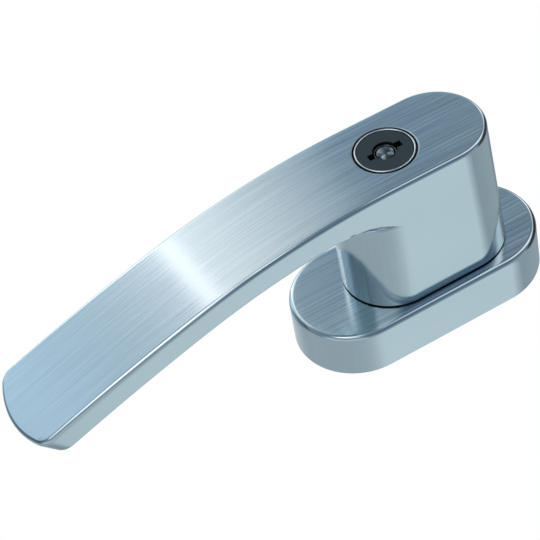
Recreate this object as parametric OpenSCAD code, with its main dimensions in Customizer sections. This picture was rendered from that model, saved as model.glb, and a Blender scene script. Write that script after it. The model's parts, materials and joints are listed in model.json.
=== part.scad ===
// Lockable window handle: an oval rosette, a raked neck with a lock barrel in its head,
// and a flat lever that bends down and away from the head.
// The origin is the middle of the rosette's back face. +Z points into the room.
// At rest the lever points to -X and the barrel is unlocked.

/* [Rosette] */
// half the straight length of the oval cover
cover_half = 17; // [10:0.5:30]
// radius of the cover's round ends at the back
cover_low_r = 15.75; // [12:0.05:22]
// radius of the cover's round ends just under the rounded edge
cover_high_r = 15.45; // [12:0.05:22]
// height of the cover
cover_h = 12.5; // [10:0.5:18]
// rounding of the cover's front edge
cover_edge = 1.4; // [0.5:0.1:3]
// sheet thickness of the cover
cover_wall = 1.2; // [0.6:0.1:2]
// radius of the cover's round hole, which the foot of the neck hides
cover_hole_r = 11.4; // [8:0.1:12]
// thickness of the base plate's floor
base_floor = 7; // [5:0.5:9]
// thickness of the rim that carries the cover
base_rim = 1.2; // [0.8:0.1:2]
// distance between the two fixing holes
screw_spacing = 43; // [40:0.5:50]
// radius of a fixing hole
screw_r = 2.65; // [2:0.05:3.5]
// radius of the seat for a screw head
screw_seat_r = 5; // [4:0.1:5.5]
// height of the seat for a screw head
screw_seat_z = 3.5; // [2:0.5:6]
// radius of a locating lug
lug_r = 5; // [4:0.1:6]
// length of a locating lug behind the rosette
lug_h = 3; // [1:0.5:10]
// radius of the recess at the back for the retaining ring
recess_r = 9.6; // [8.5:0.1:11]
// depth of that recess
recess_h = 3.2; // [2.8:0.1:4]

/* [Index plate] */
// thickness of the index plate
plate_t = 1.2; // [0.8:0.1:2]
// wall thickness of the guide ring on the index plate
guide_wall = 1.4; // [1:0.1:1.8]
// radius of a hole that takes the lock bolt
strike_r = 1.7; // [1.5:0.05:2]
// depth of the bolt hole below the plate, in the base
strike_depth = 1.3; // [1:0.1:1.6]
// distance of a rivet from the middle
rivet_x = 14.6; // [14:0.1:15]
// radius of a rivet's shank
rivet_r = 1; // [0.6:0.1:1.2]
// radius of a rivet's head
rivet_head_r = 1.4; // [1.2:0.1:1.6]
// height of a rivet's head
rivet_head_h = 0.7; // [0.3:0.1:1]
// length of a rivet below the plate
rivet_len = 2.5; // [1:0.5:3]

/* [Lever] */
// height of the head's flat top above the window
head_top = 50; // [40:0.5:65]
// width of the lever, the head and the neck
lever_w = 25; // [18:0.5:30]
// thickness of the lever, square to its top
lever_t = 6.4; // [4:0.1:9]
// rounding along the lever's top edges
top_edge = 1.2; // [0.4:0.1:2]
// rounding along the lever's lower edges
low_edge = 0.7; // [0.3:0.1:1.5]
// where the flat top starts to bend
bend_x = -8.5; // [-20:0.5:0]
// radius of the first bend
bend_r = 180; // [120:5:260]
// angle of the first bend
bend_angle = 16.5; // [10:0.5:25]
// radius of the second, slower bend
reach_r = 505; // [300:5:700]
// angle of the second bend
reach_angle = 4; // [2:0.5:10]
// straight length at the tip
tip_len = 10.8; // [8:0.1:20]
// radius of the crowned tip in plan
crown_r = 23; // [20:0.5:40]
// radius of the tip's corners in plan
corner_r = 4; // [2:0.5:6]
// angle of the tip's end face, which sets its lower edge back
tip_slant = 18; // [0:1:30]

/* [Neck] */
// height of the foot's lower face, just clear of the cover
foot_z = 13.2; // [12.6:0.1:15]
// middle of the neck's left round side
neck_left = -5.6; // [-8:0.1:-2]
// middle of the foot's right round end
foot_right = 11.65; // [8:0.05:14]
// middle of the head's right round end, further in than the foot's
head_right = 9.2; // [7:0.1:14]
// how much less than half the width the raked end's radius is
end_step = 0.02; // [0.01:0.01:0.05]
// radius of the fillet under the lever
fillet_r = 6.8; // [3:0.1:9]
// how far the fillet's ring reaches into the lever
fillet_lift = 0.2; // [0.1:0.05:0.5]

/* [Hub] */
// side of the square socket for the spindle
socket_w = 7.1; // [7:0.05:8.2]
// depth of the socket from the rosette's back face
socket_top = 22; // [15:1:24]
// radius of the hub's shaft in the rosette
shaft_r = 6.2; // [5.8:0.1:7]
// radius of the hub's spigot in the neck
spigot_r = 5.9; // [5.6:0.1:6.2]
// height of the hub's upper end
spigot_top = 25; // [23:0.5:28]
// height of the shaft's lower end above the back face
shaft_low = 1; // [0:0.1:2]
// wall between a bore in the hub's flange and the flange's rim
flange_wall = 0.95; // [0.6:0.05:1.2]
// height of the flange's lower face above the index plate
flange_gap = 0.5; // [0.3:0.05:1]
// height of the flange's upper face
flange_top = 15; // [14.5:0.1:17]
// thickness of the retaining ring
ring_t = 0.9; // [0.6:0.1:1.2]
// outer radius of the retaining ring
ring_r = 7.9; // [7:0.1:9]
// depth of the shaft's groove for the retaining ring
groove_depth = 0.6; // [0.3:0.1:0.8]
// width of the slot in the retaining ring
ring_slot = 2.4; // [1:0.1:4]
// radius of the two eyes in the retaining ring
ring_eye_r = 0.45; // [0.3:0.05:0.6]
// angle from the slot's middle to an eye
ring_eye_angle = 20; // [15:1:40]
// thickness of the thrust washer
washer_t = 0.4; // [0.3:0.05:0.8]
// outer radius of the thrust washer
washer_r = 9.3; // [8:0.1:9.5]
// wall thickness of the bearing bush
bush_wall = 1.5; // [1:0.1:2]
// height of the bearing bush
bush_h = 2.3; // [1:0.1:2.4]
// height of the grub screw that holds the hub in the neck
grub_z = 20; // [17:0.5:23]
// radius of the grub screw
grub_r = 2.45; // [1.5:0.05:3]
// length of the grub screw
grub_len = 5.5; // [3:0.5:6]
// width across the flats of the grub screw's hexagon
grub_key = 2.5; // [1.5:0.1:3]

/* [Detent] */
// radius of a detent ball
ball_r = 1.5; // [1:0.05:1.6]
// drop of a ball into its hole
ball_drop = 0.6; // [0.3:0.05:0.7]
// depth of a ball's bore in the flange
ball_bore = 5.3; // [4:0.1:6]
// angle of the first ball, from +X
ball_angle = 45; // [30:1:60]
// turns of a detent spring
detent_turns = 3; // [2:1:5]
// wire radius of a detent spring
detent_wire = 0.18; // [0.1:0.01:0.25]

/* [Lock] */
// middle of the lock barrel along X
lock_x = -3; // [-6:0.1:2]
// radius of the barrel's bore in the head
barrel_r = 7.42; // [6.5:0.01:8.5]
// height of the bore's floor
barrel_floor = 27.3; // [26:0.1:30]
// radius of the bright ring round the lock face
bezel_r = 7; // [6:0.05:8]
// how far the bright ring stands above the head
bezel_rise = 0.15; // [0:0.05:0.6]
// depth of the dark groove round the bright ring
bezel_depth = 1.2; // [0.5:0.1:2]
// radius of the lock face
face_r = 6.5; // [5.5:0.05:7]
// thickness of the lock face
face_t = 2.3; // [1.5:0.1:4]
// depth of the lock face below the head's top
face_sink = 0.05; // [0:0.05:0.5]
// radius of the plug's body
plug_r = 5.5; // [5:0.05:6]
// height of the plug's lower end
plug_low = 36; // [34:0.5:40]
// radius of the chamber for the tumblers
chamber_r = 4.6; // [4:0.05:5]
// height of the chamber's top
chamber_top = 46.5; // [44:0.5:47]
// radius of the round keyhole
key_r = 2.85; // [2:0.05:3.5]
// length of the keyhole across its two wings
key_len = 8.5; // [7:0.1:9.5]
// width of a wing
key_w = 1.7; // [1:0.1:2.5]
// thickness of a tumbler
tumbler_t = 1.4; // [0.8:0.1:2]
// radius of the notch in a tumbler's edge
notch_r = 0.55; // [0.3:0.05:0.8]
// gap between two tumblers
tumbler_gap = 0.1; // [0.05:0.05:0.3]
// radius of the pin that holds the housing
pin_r = 1.2; // [0.8:0.1:2]
// height of that pin
pin_z = 43; // [40:0.5:46]
// length of that pin
pin_len = 4.9; // [4:0.1:6]

/* [Bolt and cam] */
// radius of the pin that holds the cam to the plug
cam_pin_r = 0.5; // [0.3:0.05:0.7]
// radius of the bolt
bolt_r = 1.4; // [1:0.05:1.6]
// height of the bolt's lower end when unlocked
bolt_low = 8.6; // [8.5:0.05:9.5]
// travel of the bolt over a quarter turn
bolt_travel = 2.5; // [1.5:0.5:2.5]
// thickness of the cam's disc
cam_t = 2; // [1:0.1:3]
// radius of the cam's disc
cam_r = 7; // [6:0.1:7.2]
// step from the disc's rim to the ramp
ramp_step = 0.1; // [0.05:0.05:0.3]
// angle that the ramp runs on beyond each end of the turn
ramp_extra = 20; // [16:1:30]
// height of the collar that the bolt's spring bears on
collar_z = 28.5; // [27.6:0.1:29]
// radius of that collar
collar_r = 2.1; // [1.8:0.05:2.2]
// thickness of that collar
collar_h = 0.9; // [0.5:0.1:1.2]
// height of the ledge under the bolt's spring
ledge_z = 17; // [15.5:0.5:20]
// wire radius of the bolt's spring
bolt_wire = 0.22; // [0.1:0.01:0.3]
// turns of the bolt's spring
bolt_turns = 7; // [4:1:10]

/* [Keyhole shutter] */
// radius of the shutter
shutter_r = 2.5; // [2:0.05:2.7]
// length of the shutter
shutter_h = 3; // [2:0.5:4]
// rise of the shutter's dome
dome_h = 1.1; // [0.3:0.1:2]
// depth of the dome's top below the lock face
dome_sink = 0.35; // [0.1:0.05:1]
// wire radius of the shutter's spring
shutter_wire = 0.22; // [0.1:0.01:0.3]
// turns of the shutter's spring
shutter_turns = 4; // [3:1:4]
// height of the shutter spring's seat
seat_z = 37.5; // [37:0.1:38.5]

/* [Clearances] */
// running clearance of a turning or sliding fit
run = 0.05; // [0.01:0.01:0.1]
// free clearance between pieces that pass each other
free = 0.35; // [0.3:0.05:0.6]
// how far a cut runs past the face that it opens
past = 1; // [0.5:0.5:3]

/* [Hidden] */
$fn = 48;
half_w = lever_w / 2;
inner_r = cover_high_r - cover_wall;
base_r = inner_r - free;
rim_top = cover_h - cover_wall;
plate_top = base_floor + plate_t;
flange_low = plate_top + flange_gap;
bush_r = shaft_r + run + bush_wall;
plate_r = base_r - base_rim - free;
guide_in = plate_r - guide_wall;
flange_r = guide_in - 2 * run;
washer_low = recess_h - run - washer_t;
ring_low = washer_low - run - ring_t;
ball_z = plate_top + ball_r + run / 2;
ball_bore_r = ball_r + run;
ball_circle_r = flange_r - flange_wall - ball_bore_r;
ball_seat = ball_r - ball_drop - run;
ball_hole_r = sqrt(ball_r * ball_r - ball_seat * ball_seat);
coil_r = ball_r - 2 * detent_wire;
coil_touch = ball_r + detent_wire + run;
spring_foot = ball_z + sqrt(coil_touch * coil_touch - coil_r * coil_r) - detent_wire;
spring_head = flange_low + ball_bore;
bolt_bore_r = bolt_r + 2 * run;
bolt_x = flange_wall / 2 + bolt_bore_r - flange_r;
bolt_arm = lock_x - bolt_x;
ramp_in = bolt_arm - bolt_r;
ramp_out = cam_r - ramp_step;
spring_bore_r = collar_r + 4 * run;
housing_low = plug_low + free;
housing_top = head_top - bezel_depth;
face_top = head_top - face_sink;
face_low = face_top - face_t;
bezel_top = head_top + bezel_rise;
tumbler_pitch = tumbler_t + tumbler_gap;
tumbler_low = chamber_top - 4 * tumbler_pitch;
slope = bolt_travel / 90;
cam_low = plug_low - cam_t;
ramp_top = cam_low - free;
contact_z = ramp_top - slope * ramp_extra;
slope_tilt = atan(slope * 180 / PI / bolt_arm);
dome_z = contact_z - bolt_r / cos(slope_tilt) - 4 * run;
shutter_top = face_top - dome_sink;
shutter_low = shutter_top - dome_h - shutter_h;
dome_r = (shutter_r * shutter_r + dome_h * dome_h) / (2 * dome_h);
corner_y = half_w - corner_r;
crown_arm = crown_r - corner_r;
crown_back = sqrt(crown_arm * crown_arm - corner_y * corner_y);
crown_half = asin(corner_y / crown_arm);
rake = atan((foot_right - head_right) / (head_top - foot_z));
head_low = head_top - lever_t;
edge_z = head_top - top_edge;
edge_x = head_right + top_edge * tan(rake);
cam_pin_z = (plug_low + seat_z) / 2;
bend_steps = 14;
reach_steps = 6;
ramp_steps = 26;
coil_steps = 16;
coil_sides = 6;

// a flat oval with its long side along X
module oval(half, r) {
  square([2 * half, 2 * r], center = true);
  for (s = [-1, 1])
    translate([s * half, 0]) circle(r = r);
}

// half of the cover's cross-section, with its edge rounded
module cap_side() {
  polygon([[0, 0], [cover_low_r, 0], [cover_high_r, cover_h - cover_edge],
    [cover_high_r - cover_edge, cover_h], [0, cover_h]]);
  translate([cover_high_r - cover_edge, cover_h - cover_edge])
    circle(r = cover_edge);
}

// the cover before it is hollowed
module cap_block() {
  for (s = [-1, 1])
    translate([s * cover_half, 0, 0]) rotate_extrude() cap_side();
  rotate([90, 0, 90])
    translate([0, 0, -cover_half])
      linear_extrude(height = 2 * cover_half) {
        cap_side();
        mirror([1, 0]) cap_side();
      }
}

// two like things at the two ends of the rosette
module at_ends(x) {
  for (s = [-1, 1])
    translate([s * x, 0, 0]) children();
}

// the oval cap that hides the base plate
module cover() {
  color([0.72, 0.74, 0.77])
    difference() {
      cap_block();
      translate([0, 0, -past])
        linear_extrude(height = rim_top + past) oval(cover_half, inner_r);
      cylinder(r = cover_hole_r, h = cover_h + past);
    }
}

// the casting that is screwed to the window, with its lugs, rim and bores
module base_plate() {
  color([0.55, 0.56, 0.58])
    difference() {
      union() {
        linear_extrude(height = rim_top) oval(cover_half, base_r);
        at_ends(screw_spacing / 2)
          translate([0, 0, -lug_h]) cylinder(r = lug_r, h = lug_h + past);
      }
      translate([0, 0, base_floor])
        linear_extrude(height = rim_top) oval(cover_half, base_r - base_rim);
      at_ends(screw_spacing / 2) {
        translate([0, 0, -lug_h - past])
          cylinder(r = screw_r, h = base_floor + lug_h + 2 * past);
        translate([0, 0, screw_seat_z])
          cylinder(r = screw_seat_r, h = base_floor);
      }
      at_ends(rivet_x)
        translate([0, 0, base_floor - rivet_len])
          cylinder(r = rivet_r, h = rivet_len + past);
      at_ends(bolt_x)
        translate([0, 0, base_floor - strike_depth])
          cylinder(r = strike_r, h = strike_depth + past);
      translate([0, 0, -past]) cylinder(r = recess_r, h = recess_h + past);
      translate([0, 0, recess_h / 2]) cylinder(r = bush_r, h = recess_h / 2 + bush_h);
      cylinder(r = shaft_r + free, h = base_floor + past);
    }
}

// the steel plate with four holes for the balls and two for the bolt
module index_plate() {
  color([0.62, 0.6, 0.52])
    translate([0, 0, base_floor])
      linear_extrude(height = plate_t)
        difference() {
          union() {
            circle(r = plate_r);
            square([2 * rivet_x, 2 * rivet_head_r + 2 * free], center = true);
            at_ends(rivet_x) circle(r = rivet_head_r + free);
          }
          circle(r = shaft_r + free);
          at_ends(rivet_x) circle(r = rivet_r);
          at_ends(bolt_x) circle(r = strike_r);
          for (a = [0 : 90 : 270])
            rotate(ball_angle + a) translate([ball_circle_r, 0])
              circle(r = ball_hole_r);
        }
}

// a headed rivet on the axis of Z
module rivet() {
  color([0.7, 0.7, 0.7])
    union() {
      translate([0, 0, base_floor - rivet_len])
        cylinder(r = rivet_r, h = rivet_len + plate_t + rivet_head_h / 2);
      translate([0, 0, plate_top]) cylinder(r = rivet_head_r, h = rivet_head_h);
    }
}

// the rivet on the lever's side
module rivet_left() {
  translate([-rivet_x, 0, 0]) rivet();
}

// the rivet on the other side
module rivet_right() {
  translate([rivet_x, 0, 0]) rivet();
}

// the bush that the hub's shaft turns in
module bearing_bush() {
  color([0.78, 0.62, 0.3])
    translate([0, 0, recess_h])
      difference() {
        cylinder(r = bush_r, h = bush_h);
        translate([0, 0, -past])
          cylinder(r = shaft_r + run, h = base_floor + past);
      }
}

// the ring round the hub's flange, under the cover
module guide_ring() {
  color([0.85, 0.85, 0.82])
    translate([0, 0, plate_top])
      difference() {
        cylinder(r = plate_r, h = rim_top - plate_top);
        translate([0, 0, -past]) cylinder(r = guide_in, h = rim_top);
      }
}

// the washer between the base plate and the retaining ring
module thrust_washer() {
  color([0.3, 0.3, 0.32])
    translate([0, 0, washer_low])
      difference() {
        cylinder(r = washer_r, h = washer_t + run);
        translate([0, 0, -past]) cylinder(r = shaft_r + free, h = 3 * past);
      }
}

// the tip's outline in plan: a crowned end between two round corners
module tip_outline() {
  steps = 8;
  corner = [for (i = [0 : steps])
    let (a = 90 + i * (90 - crown_half) / steps)
    [corner_r * cos(a) - crown_back, corner_y + corner_r * sin(a)]];
  crown = [for (i = [1 : 2 * steps - 1])
    let (a = 180 - crown_half + i * crown_half / steps)
    [crown_r * cos(a), crown_r * sin(a)]];
  other = [for (i = [steps : -1 : 0]) [corner[i][0], -corner[i][1]]];
  polygon(concat([[reach_r, lever_w], [-crown_back, lever_w]], corner, crown,
    other, [[-crown_back, -lever_w], [reach_r, -lever_w]]));
}

// the line that the lever's top follows: X, height and slope at each station
function bend_at(a) = [bend_x - bend_r * sin(a),
  head_top - bend_r * (1 - cos(a)), a];
function reach_at(a) = let (o = bend_at(bend_angle), b = bend_angle + a)
  [o[0] - reach_r * (sin(b) - sin(bend_angle)),
  o[1] - reach_r * (cos(bend_angle) - cos(b)), b];
function tip_at(len) = let (o = reach_at(reach_angle))
  [o[0] - len * cos(o[2]), o[1] - len * sin(o[2]), o[2]];
stations = concat([[edge_x, head_top, 0]],
  [for (i = [0 : bend_steps]) bend_at(bend_angle * i / bend_steps)],
  [for (i = [1 : reach_steps]) reach_at(reach_angle * i / reach_steps)],
  [tip_at(tip_len + past)]);

// the lever's cross-section as points: depth below the top face, then Y
function round_corner(x, y, r, from) = [for (i = [0 : 4])
  let (a = from + i * 22.5) [x + r * cos(a), y + r * sin(a)]];
section = concat(
  round_corner(-top_edge, half_w - top_edge, top_edge, 0),
  round_corner(-lever_t + low_edge, half_w - low_edge, low_edge, 90),
  round_corner(-lever_t + low_edge, low_edge - half_w, low_edge, 180),
  round_corner(-top_edge, top_edge - half_w, top_edge, 270));

// the bar of the lever, swept from the head's right end to beyond the tip
module sweep() {
  n = len(section);
  points = [for (p = stations) for (q = section)
    [p[0] - q[0] * sin(p[2]), q[1], p[1] + q[0] * cos(p[2])]];
  walls = [for (i = [0 : len(stations) - 2]) for (k = [0 : n - 1])
    for (half = [0, 1])
    let (m = (k + 1) % n, a = i * n)
    half == 0 ? [a + k, a + n + m, a + m] : [a + k, a + n + k, a + n + m]];
  last = n * (len(stations) - 1);
  caps = [[for (k = [0 : n - 1]) k], [for (k = [n - 1 : -1 : 0]) last + k]];
  polyhedron(points = points, faces = concat(walls, caps));
}

// the whole lever from the head's right end to the crowned tip, without the neck
module bar() {
  end = tip_at(tip_len);
  intersection() {
    sweep();
    translate([end[0], 0, end[1]])
      rotate([0, -end[2] - tip_slant, 0])
        translate([crown_r, 0, -2 * head_top])
          linear_extrude(height = 3 * head_top) tip_outline();
  }
}

// the neck's raked right end, cut flat at the foot and under the rounded edge
module raked_end() {
  intersection() {
    translate([foot_right, 0, foot_z])
      rotate([0, -rake, 0])
        translate([0, 0, -2 * past]) cylinder(r = half_w - end_step, h = head_top);
    translate([-half_w, -lever_w, foot_z])
      cube([3 * lever_w, 2 * lever_w, edge_z - foot_z]);
  }
  translate([edge_x, 0, edge_z])
    rotate_extrude() {
      square([half_w - top_edge, top_edge]);
      intersection() {
        translate([half_w - top_edge - run, 0]) circle(r = top_edge);
        square([half_w, top_edge]);
      }
    }
}

// the neck from the foot to the underside of the head's rounded edge
module neck() {
  translate([neck_left, 0, foot_z]) cylinder(r = half_w, h = edge_z - foot_z);
  translate([0, half_w, 0])
    rotate([90, 0, 0])
      linear_extrude(height = lever_w)
        polygon([[neck_left, foot_z], [foot_right, foot_z],
          [edge_x, edge_z], [neck_left, edge_z]]);
  raked_end();
}

// the fillet that rolls round the neck's left side under the lever
module fillet() {
  intersection() {
    translate([neck_left, 0, head_low - fillet_r + fillet_lift])
      rotate([0, 0, 90])
        rotate_extrude(angle = 180)
          difference() {
            translate([half_w - past, 0]) square([fillet_r + past, fillet_r + past]);
            translate([half_w + fillet_r, 0]) circle(r = fillet_r);
          }
    translate([-2 * lever_w, -half_w, foot_z])
      cube([2 * lever_w + neck_left, lever_w, head_top - foot_z]);
  }
}

// the lever, its head and its neck in one piece, with all bores
module lever() {
  color([0.7, 0.72, 0.75])
    difference() {
      union() {
        bar();
        neck();
        fillet();
      }
      translate([0, 0, foot_z - past])
        cylinder(r = flange_r + run, h = flange_top - foot_z + past);
      translate([0, 0, flange_top - past])
        cylinder(r = spigot_r + run, h = barrel_floor - flange_top + 2 * past);
      translate([lock_x, 0, barrel_floor])
        cylinder(r = barrel_r, h = head_top - barrel_floor + past);
      translate([bolt_x, 0, flange_top - past])
        cylinder(r = bolt_bore_r, h = ledge_z - flange_top + 2 * past);
      translate([bolt_x, 0, ledge_z])
        cylinder(r = spring_bore_r, h = collar_z + collar_h + free - ledge_z);
      translate([0, half_w + past, grub_z])
        rotate([90, 0, 0]) cylinder(r = grub_r, h = half_w);
      translate([lock_x, half_w + past, pin_z])
        rotate([90, 0, 0]) cylinder(r = pin_r, h = half_w - plug_r);
    }
}

// the hub: shaft, flange and spigot with the square socket right through the shaft
module hub() {
  color([0.66, 0.67, 0.68])
    difference() {
      union() {
        translate([0, 0, shaft_low]) cylinder(r = shaft_r, h = flange_top - shaft_low);
        translate([0, 0, flange_low]) cylinder(r = flange_r, h = flange_top - flange_low);
        translate([0, 0, flange_low]) cylinder(r = spigot_r, h = spigot_top - flange_low);
      }
      translate([-socket_w / 2, -socket_w / 2, shaft_low - past])
        cube([socket_w, socket_w, socket_top - shaft_low + past]);
      translate([0, 0, ring_low - run])
        difference() {
          cylinder(r = shaft_r + past, h = ring_t + 2 * run);
          cylinder(r = shaft_r - groove_depth, h = ring_t + 2 * run);
        }
      for (a = [0, 180])
        rotate(ball_angle + a) translate([ball_circle_r, 0, flange_low - past])
          cylinder(r = ball_bore_r, h = ball_bore + past);
      translate([bolt_x, 0, flange_low - past])
        cylinder(r = bolt_bore_r, h = flange_top);
    }
}

// the hexagon screw that holds the neck on the hub
module grub_screw() {
  color([0.25, 0.25, 0.27])
    translate([0, spigot_r + grub_len, grub_z])
      rotate([90, 0, 0])
        difference() {
          cylinder(r = grub_r, h = grub_len);
          translate([0, 0, -past])
            cylinder(r = grub_key / sqrt(3), h = grub_len / 2 + past, $fn = 6);
        }
}

// the slotted ring in the shaft's groove
module retaining_ring() {
  color([0.35, 0.36, 0.38])
    translate([0, 0, ring_low])
      linear_extrude(height = ring_t)
        difference() {
          circle(r = ring_r);
          circle(r = shaft_r - groove_depth + run);
          translate([0, -ring_slot / 2]) square([2 * ring_r, ring_slot]);
          for (s = [-1, 1])
            rotate(s * ring_eye_angle)
              translate([(ring_r + shaft_r - groove_depth) / 2, 0])
                circle(r = ring_eye_r);
        }
}

// the sleeve that the plug turns in
module lock_housing() {
  color([0.6, 0.61, 0.63])
    translate([lock_x, 0, 0])
      difference() {
        translate([0, 0, housing_low])
          cylinder(r = barrel_r - run / 2, h = housing_top - housing_low);
        translate([0, 0, housing_low - past])
          cylinder(r = plug_r + run, h = head_top);
        translate([0, 0, face_low - free])
          cylinder(r = face_r + run, h = head_top);
        translate([0, barrel_r + past, pin_z])
          rotate([90, 0, 0]) cylinder(r = pin_r, h = 2 * past);
      }
}

// the bright ring round the lock face
module lock_bezel() {
  color([0.85, 0.86, 0.88])
    translate([lock_x, 0, housing_top])
      difference() {
        cylinder(r = bezel_r, h = bezel_top - housing_top);
        translate([0, 0, -past]) cylinder(r = face_r + 2 * run, h = head_top);
      }
}

// the cross pin that holds the sleeve in the head
module housing_pin() {
  color([0.5, 0.5, 0.52])
    translate([lock_x, barrel_r - past + pin_len, pin_z])
      rotate([90, 0, 0]) cylinder(r = pin_r, h = pin_len);
}

// a wire spring round Z with open ends, from z = low to z = high
module coil(r, wire, low, high, turns) {
  steps = turns * coil_steps;
  sides = coil_sides;
  rise = (high - low - 2 * wire) / steps;
  points = [for (i = [0 : steps]) for (k = [0 : sides - 1])
    let (a = i * 360 / coil_steps, b = k * 360 / sides, q = r + wire * cos(b))
    [q * cos(a), q * sin(a), low + wire + i * rise + wire * sin(b)]];
  walls = [for (i = [0 : steps - 1]) for (k = [0 : sides - 1])
    for (half = [0, 1])
    let (n = (k + 1) % sides, p = i * sides)
    half == 0 ? [p + k, p + n, p + sides + n] : [p + k, p + sides + n, p + sides + k]];
  caps = [[for (k = [sides - 1 : -1 : 0]) k],
    [for (k = [0 : sides - 1]) steps * sides + k]];
  polyhedron(points = points, faces = concat(walls, caps));
}

// something moved to a ball's bore
module at_ball(turn) {
  rotate(ball_angle + turn) translate([ball_circle_r, 0, 0]) children();
}

// the ball away from the lever
module detent_ball_rear() {
  color([0.8, 0.8, 0.82])
    at_ball(0) translate([0, 0, ball_z]) sphere(r = ball_r);
}

// the ball on the lever's side
module detent_ball_front() {
  color([0.8, 0.8, 0.82])
    at_ball(180) translate([0, 0, ball_z]) sphere(r = ball_r);
}

// the spring behind the first ball
module detent_spring_rear() {
  color([0.45, 0.46, 0.48])
    at_ball(0)
      coil(coil_r, detent_wire, spring_foot, spring_head, detent_turns);
}

// the spring behind the second ball
module detent_spring_front() {
  color([0.45, 0.46, 0.48])
    at_ball(180)
      coil(coil_r, detent_wire, spring_foot, spring_head, detent_turns);
}

// the bolt that drops through the hub into the index plate
module lock_bolt() {
  color([0.75, 0.76, 0.78])
    translate([bolt_x, 0, 0])
      union() {
        translate([0, 0, bolt_low]) cylinder(r = bolt_r, h = dome_z - bolt_low);
        translate([0, 0, dome_z]) sphere(r = bolt_r);
        translate([0, 0, collar_z]) cylinder(r = collar_r, h = collar_h);
      }
}

// the spring that lifts the bolt
module bolt_spring() {
  color([0.45, 0.46, 0.48])
    translate([bolt_x, 0, 0])
      coil(bolt_r + bolt_wire + 3 * run, bolt_wire, ledge_z, collar_z, bolt_turns);
}

// the keyhole's outline: a round hole with a wing on each side
module key_outline() {
  circle(r = key_r);
  square([key_len, key_w], center = true);
}

// the plug: the lock face with its keyhole, and the body behind it
module lock_plug() {
  color([0.32, 0.36, 0.42])
    translate([lock_x, 0, 0])
      difference() {
        union() {
          translate([0, 0, plug_low]) cylinder(r = plug_r, h = face_top - plug_low);
          translate([0, 0, face_low]) cylinder(r = face_r, h = face_t);
        }
        translate([0, 0, plug_low - past])
          cylinder(r = chamber_r, h = chamber_top - plug_low + past);
        translate([0, 0, plug_low])
          linear_extrude(height = head_top) key_outline();
        translate([0, plug_r + past, cam_pin_z])
          rotate([90, 0, 0]) cylinder(r = cam_pin_r, h = 2 * plug_r + 2 * past);
      }
}

// a tumbler disc, its notch turned by an angle
module tumbler(n, turn) {
  color([0.8, 0.66, 0.36])
    translate([lock_x, 0, tumbler_low + n * tumbler_pitch])
      linear_extrude(height = tumbler_t)
        difference() {
          circle(r = chamber_r - run);
          key_outline();
          rotate(turn) translate([chamber_r, 0]) circle(r = notch_r);
        }
}

// the lowest tumbler
module tumbler_1() {
  tumbler(0, 60);
}

// the second tumbler
module tumbler_2() {
  tumbler(1, 105);
}

// the third tumbler
module tumbler_3() {
  tumbler(2, 75);
}

// the highest tumbler
module tumbler_4() {
  tumbler(3, 120);
}

// the sloping underside that pushes the bolt down as the plug turns
module ramp() {
  first = 180 - 90 - ramp_extra;
  steps = ramp_steps;
  turn = (90 + 2 * ramp_extra) / steps;
  points = [for (i = [0 : steps]) for (q = [ramp_in, ramp_out]) for (top = [0, 1])
    let (a = first + i * turn)
    [q * cos(a), q * sin(a),
      top == 1 ? cam_low + cam_t / 2 : ramp_top - slope * turn * (steps - i)]];
  walls = [for (i = [0 : steps - 1]) for (s = [0 : 3])
    let (p = 4 * i, ring = [0, 2, 3, 1], a = ring[s], b = ring[(s + 1) % 4])
    for (half = [0, 1])
    half == 0 ? [p + a, p + b, p + 4 + b] : [p + a, p + 4 + b, p + 4 + a]];
  last = 4 * steps;
  caps = [[0, 1, 3, 2], [last, last + 2, last + 3, last + 1]];
  polyhedron(points = points, faces = concat(walls, caps));
}

// the cam under the plug, whose boss carries the shutter's spring
module plug_cam() {
  color([0.5, 0.5, 0.5])
    translate([lock_x, 0, 0])
      difference() {
        union() {
          translate([0, 0, cam_low]) cylinder(r = cam_r, h = cam_t);
          translate([0, 0, cam_low])
            cylinder(r = chamber_r - run, h = tumbler_low - cam_low);
          ramp();
        }
        translate([0, 0, seat_z])
          cylinder(r = key_r, h = head_top);
        translate([0, plug_r + past, cam_pin_z])
          rotate([90, 0, 0]) cylinder(r = cam_pin_r, h = 2 * plug_r + 2 * past);
      }
}

// the pin through the plug and the cam
module cam_pin() {
  color([0.7, 0.7, 0.72])
    translate([lock_x, plug_r - run, cam_pin_z])
      rotate([90, 0, 0]) cylinder(r = cam_pin_r, h = 2 * (plug_r - run));
}

// the domed shutter that closes the keyhole
module keyhole_shutter() {
  color([0.85, 0.86, 0.88])
    translate([lock_x, 0, 0])
      intersection() {
        translate([0, 0, shutter_low]) cylinder(r = shutter_r, h = shutter_h + dome_h);
        translate([0, 0, shutter_top - dome_r]) sphere(r = dome_r);
      }
}

// the spring that pushes the shutter out
module shutter_spring() {
  color([0.45, 0.46, 0.48])
    translate([lock_x, 0, 0])
      coil(shutter_r - 2 * shutter_wire, shutter_wire, seat_z, shutter_low,
        shutter_turns);
}

cover();
base_plate();
index_plate();
rivet_left();
rivet_right();
bearing_bush();
guide_ring();
thrust_washer();
lever();
hub();
grub_screw();
retaining_ring();
lock_housing();
lock_bezel();
housing_pin();
detent_ball_rear();
detent_ball_front();
detent_spring_rear();
detent_spring_front();
lock_bolt();
bolt_spring();
lock_plug();
tumbler_1();
tumbler_2();
tumbler_3();
tumbler_4();
plug_cam();
cam_pin();
keyhole_shutter();
shutter_spring();
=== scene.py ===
"""Lockable window handle: its visible surfaces, finishes, light and camera.

Lengths are in metres in the part's own frame. The origin is the middle of the rosette's back face,
+Z points into the room and the lever lies along -X at rest.
"""

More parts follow.
